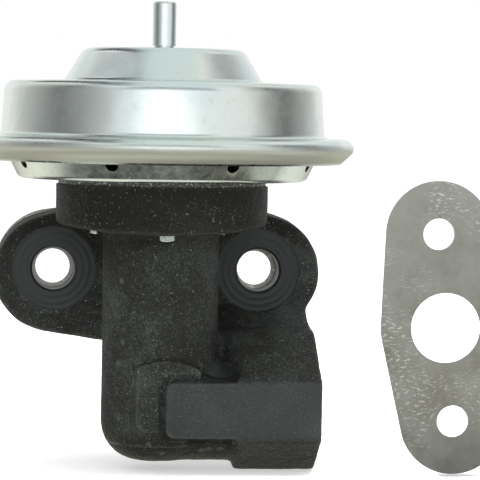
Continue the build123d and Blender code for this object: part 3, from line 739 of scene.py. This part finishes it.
# Hard drawn wire under a film of oil: dark grey and glossy, its tone drifting from coil to coil.
wire, tree, place = new_material("oiled_spring_wire")
drawn = add(tree, "TexNoise", {}, {"Vector": place, "Scale": drawn_at(1.11), "Detail": 3.0})
tone = add(tree, "Mix", {"data_type": "RGBA"}, {0: drawn, "A": linear("#3c3d40"), "B": linear("#6b6d70")})
gloss = add(tree, "MapRange", {},
            {0: drawn, "From Min": 0.3, "From Max": 0.7, "To Min": 0.24, "To Max": 0.42})
surface = add(tree, "BsdfPrincipled", {}, {"Base Color": tone, "Roughness": gloss, "Metallic": 1.0})
add(tree, "OutputMaterial", {}, {"Surface": surface})
coil = bmesh.new()
ring(coil, SPRING_R, STEM_Y, SPRING_START, WIRE_R, 16, True)
end = coil.faces[:]
for turns, rise in ((0.9, 1.6), (2.8, 17.0), (0.9, 1.6)):
    steps = round(turns * 56)
    end = bmesh.ops.spin(coil, geom=end, cent=(0, STEM_Y, 0), axis=(0, 0, 1), dvec=(0, 0, rise / steps),
                         angle=math.tau * turns, steps=steps)["geom_last"]
bmesh.ops.recalc_face_normals(coil, faces=coil.faces)
spring = finish(as_object("spring_coil", coil), [wire], "housing", ["return_spring"])
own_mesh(spring)

# ---------------------------------------------------------------- stem, pintle, guide and lifting stack
# Turned pieces: stainless where the exhaust gas passes, plain or plated steel in the can, a bushing
# of sintered bronze and a moulded lip seal. Their shapes are the frame's own.


def turned_metal(name, dark, light, smooth, rough, spacing):
    """Bare metal, ringed round the stem by faint tool marks 0.1 mm apart, drawn at the spacing in mm."""
    made, tree, place = new_material(name)
    stacked = add(tree, "Mapping", {}, {"Vector": place, "Scale": (0.05, 0.05, 1.0)})
    marks = add(tree, "TexNoise", {}, {"Vector": stacked, "Scale": drawn_at(spacing), "Detail": 2.0})
    stain = add(tree, "TexNoise", {}, {"Vector": place, "Scale": drawn_at(4.55), "Detail": 4.0})
    tone = add(tree, "Mix", {"data_type": "RGBA"}, {0: stain, "A": linear(dark), "B": linear(light)})
    gloss = add(tree, "MapRange", {},
                {0: stain, "From Min": 0.3, "From Max": 0.7, "To Min": smooth, "To Max": rough})
    relief = add(tree, "Bump", {}, {"Height": marks, "Distance": 0.01 * MM, "Strength": 0.6})
    surface = add(tree, "BsdfPrincipled", {}, {
        "Base Color": tone, "Roughness": gloss, "Metallic": 1.0, "Normal": relief})
    add(tree, "OutputMaterial", {}, {"Surface": surface})
    return made


coat(turned_metal("turned_stainless_steel", "#98948c", "#bdb9b2", 0.24, 0.38, 0.5),
     "stem", "pintle", "valve_seat", "gas_deflector")
coat(turned_metal("turned_plain_steel", "#77787a", "#9a9b9c", 0.30, 0.44, 0.6),
     "stem_guide", "seal_retainer", "stem_washer")
coat(turned_metal("sintered_bronze", "#7d5c33", "#a5824d", 0.45, 0.6, 0.3), "stem_bushing")
coat(zinc, "backing_plate", "diaphragm_piston")
coat(rubber, "stem_seal")

# ---------------------------------------------------------------- floor, light and camera
# A white table in plain soft light from ahead and above. Glowing cards on both sides, ahead, overhead
# and flat on the table are seen only by bright metal, and draw its light and dark bands.
TABLE_REACH = 60000
TABLE_LIFT = 0.45


def seen_directly(tree):
    """1 to the camera and to what mirrors or lets light through, 0 to what is only lit."""
    path = add(tree, "LightPath", {}, {})
    seen = add(tree, "Math", {"operation": "MAXIMUM"},
               {0: path.outputs["Is Camera Ray"], 1: path.outputs["Is Glossy Ray"]})
    return add(tree, "Math", {"operation": "MAXIMUM"}, {0: seen, 1: path.outputs["Is Transmission Ray"]})


low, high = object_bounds()
floor_z = low.z / MM
ground = bmesh.new()
bmesh.ops.create_grid(ground, x_segments=2, y_segments=2, size=TABLE_REACH)
bmesh.ops.translate(ground, vec=(0, 0, floor_z - 0.02), verts=ground.verts)
table = as_object("table", ground)
paper, tree, place = new_material("white_table")
lift = add(tree, "Math", {"operation": "MULTIPLY"}, {0: seen_directly(tree), 1: TABLE_LIFT})
matt = add(tree, "BsdfDiffuse", {}, {"Color": linear("#ffffff")})
glow = add(tree, "Emission", {}, {"Color": linear("#ffffff"), "Strength": lift})
surface = add(tree, "AddShader", {}, {0: matt, 1: glow})
add(tree, "OutputMaterial", {}, {"Surface": surface})
table.data.materials.append(paper)
rest.data.materials.append(paper)
table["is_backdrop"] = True


def card(name, low, high):
    """A flat sheet between two corners that only bright metal sees. Its finish is left to be lit."""
    first, second = [axis for axis in range(3) if low[axis] != high[axis]]
    sheet = bmesh.new()
    verts = []
    for one, other in ((low, low), (high, low), (high, high), (low, high)):
        corner = Vector(low)
        corner[first] = one[first]
        corner[second] = other[second]
        verts.append(sheet.verts.new(corner))
    sheet.faces.new(verts)
    thing = as_object(name, sheet)
    # the sheet's finish is painted light: it glows and stands in for a lamp
    glow_card, tree, place = new_material(name + "_felt")
    thing.data.materials.append(glow_card)
    thing.visible_camera = False
    thing.visible_diffuse = False
    thing.visible_shadow = False
    thing.visible_transmission = False
    thing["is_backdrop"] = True
    return tree, place


# the cards at the sides are darkest along one upright line, and paler ahead, behind and aloft
CEILING_Z = 900
for name, x, middle_y, darkest, front_slope, back_slope in (
        ("card_left", -450, -110, 0.19, 1.1, 1.3),
        ("card_right", 450, -40, 0.14, 2.7, 1.6)):
    tree, place = card(name, (x, -700, -60), (x, 500, CEILING_Z - 1))
    split = add(tree, "SeparateXYZ", {}, {0: place})
    ahead = add(tree, "Math", {"operation": "SUBTRACT"}, {0: split.outputs["Y"], 1: middle_y * MM})
    behind_part = add(tree, "Math", {"operation": "MULTIPLY"}, {0: ahead, 1: back_slope})
    front_part = add(tree, "Math", {"operation": "MULTIPLY"}, {0: ahead, 1: -front_slope})
    steep = add(tree, "Math", {"operation": "MAXIMUM"}, {0: behind_part, 1: front_part})
    aloft = add(tree, "MapRange", {},
                {0: split.outputs["Z"], "From Min": 0.40, "From Max": 0.62, "To Min": darkest, "To Max": 0.6})
    level = add(tree, "Math", {"operation": "ADD", "use_clamp": True}, {0: steep, 1: aloft})
    glow = add(tree, "Emission", {}, {"Color": linear("#ffffff"), "Strength": level})
    add(tree, "OutputMaterial", {}, {"Surface": glow})

# the card ahead is brightest in its middle and fades upwards
tree, place = card("front_glow", (-1200, -660, -60), (1200, -660, 1000))
squeezed = add(tree, "Mapping", {},
               {"Vector": place, "Location": (0.03, 0.66, -0.08), "Scale": (1.0, 1.0, 0.6)})
from_middle = add(tree, "VectorMath", {"operation": "LENGTH"}, {0: squeezed})
level = add(tree, "MapRange", {"interpolation_type": "SMOOTHSTEP"},
            {0: from_middle, "From Min": 0.06, "From Max": 0.34, "To Min": 1.8, "To Max": 1.15})
split = add(tree, "SeparateXYZ", {}, {0: place})
fading = add(tree, "MapRange", {},
             {0: split.outputs["Z"], "From Min": 0.17, "From Max": 0.5, "To Min": 1.0, "To Max": 0.4})
level = add(tree, "Math", {"operation": "MULTIPLY"}, {0: level, 1: fading})
glow = add(tree, "Emission", {}, {"Color": linear("#f8fcff"), "Strength": level})
add(tree, "OutputMaterial", {}, {"Surface": glow})

# the card overhead has a dark patch behind to the left and a small one behind to the right, each
# with its middle, its reach and how dark it is
CEILING_LEVEL = 0.88
PATCHES = (((-0.40, 0.55, 0.9), (0.36, 1.15, 1.0), 0.08),
           ((0.66, 0.62, 0.9), (0.32, 0.32, 1.0), 0.3))
tree, place = card("ceiling", (-2000, -2000, CEILING_Z), (2000, 2000, CEILING_Z))
overhead = CEILING_LEVEL
for middle, reach, darkest in PATCHES:
    nearby = add(tree, "Mapping", {"vector_type": "TEXTURE"},
                 {"Vector": place, "Location": middle, "Scale": reach})
    away = add(tree, "VectorMath", {"operation": "LENGTH"}, {0: nearby})
    patch = add(tree, "MapRange", {"interpolation_type": "SMOOTHSTEP"},
                {0: away, "From Min": 0.4, "From Max": 1.0, "To Min": darkest, "To Max": CEILING_LEVEL})
    overhead = add(tree, "Math", {"operation": "MINIMUM"}, {0: patch, 1: overhead})
glow = add(tree, "Emission", {}, {"Color": linear("#f6fffd"), "Strength": overhead})
add(tree, "OutputMaterial", {}, {"Surface": glow})

# the table top as bright metal sees it: rings of light and shade, each with its distance from the
# stem in metres and its brightness, dimmer in front of the valve
TABLE_RINGS = ((0.06, 0.95), (0.072, 0.02), (0.094, 0.02), (0.108, 0.45), (0.13, 1.0), (0.24, 0.8),
               (0.45, 0.4))
shade_z = floor_z - 0.01
tree, place = card("table_mirrored", (-900, -900, shade_z), (900, 900, shade_z))
from_stem = add(tree, "VectorMath", {"operation": "DISTANCE"}, {0: place, 1: (0, STEM_Y * MM, shade_z * MM)})
level = add(tree, "ValToRGB", {}, {0: from_stem})
ramp = level.color_ramp
ramp.interpolation = "EASE"
for distance, brightness in TABLE_RINGS:
    stop = ramp.elements.new(distance)
    stop.color = (brightness, brightness, 0.88 * brightness, 1)
for extra in (ramp.elements[-1], ramp.elements[0]):
    ramp.elements.remove(extra)
split = add(tree, "SeparateXYZ", {}, {0: place})
dimmed = add(tree, "MapRange", {},
             {0: split.outputs["Y"], "From Min": -0.13, "From Max": -0.24, "To Min": 1.0, "To Max": 0.3})
glow = add(tree, "Emission", {}, {"Color": level, "Strength": dimmed})
add(tree, "OutputMaterial", {}, {"Surface": glow})

world = bpy.data.worlds.new("plain_studio")
bpy.context.scene.world = world
world.use_nodes = True
tree = world.node_tree
tree.nodes.clear()
strength = add(tree, "MapRange", {}, {0: seen_directly(tree), "To Min": 0.62, "To Max": 1.0})
sky = add(tree, "Background", {}, {"Color": linear("#ffffff"), "Strength": strength})
add(tree, "OutputWorld", {}, {"Surface": sky})

LAMPS_AIM = Vector((0, STEM_Y * MM, 0.02))
for name, where, size, power in (("front_box", (0.0, -0.62, 0.29), 0.42, 0.6),
                                 ("top_box", (0.1, -0.1, 0.8), 0.7, 11.0)):
    lamp = bpy.data.lights.new(name, "AREA")
    lamp.shape = "SQUARE"
    lamp.size = size
    lamp.energy = power
    holder = bpy.data.objects.new(name, lamp)
    bpy.context.scene.collection.objects.link(holder)
    holder.location = where
    holder.visible_glossy = False
    holder.rotation_euler = (LAMPS_AIM - Vector(where)).to_track_quat("-Z", "Y").to_euler()

EYE = (-0.04224, -0.63318, 0.04001)
YAW = 0.1003
PITCH = 0.0521
ROLL = 0.0173
lens = bpy.data.cameras.new("camera")
lens.sensor_width = 36.0
lens.lens = 192.1
lens.clip_start = 0.01
camera = bpy.data.objects.new("camera", lens)
bpy.context.scene.collection.objects.link(camera)
ahead = Vector((math.sin(YAW) * math.cos(PITCH), math.cos(YAW) * math.cos(PITCH), -math.sin(PITCH)))
right = Vector((math.cos(YAW), -math.sin(YAW), 0))
up = right.cross(ahead)
rolled_right = right * math.cos(ROLL) + up * math.sin(ROLL)
rolled_up = up * math.cos(ROLL) - right * math.sin(ROLL)
faced = Matrix((rolled_right, rolled_up, -ahead)).transposed().to_4x4()
camera.matrix_world = Matrix.Translation(EYE) @ faced
bpy.context.scene.camera = camera
bpy.context.scene.view_settings.view_transform = "Standard"
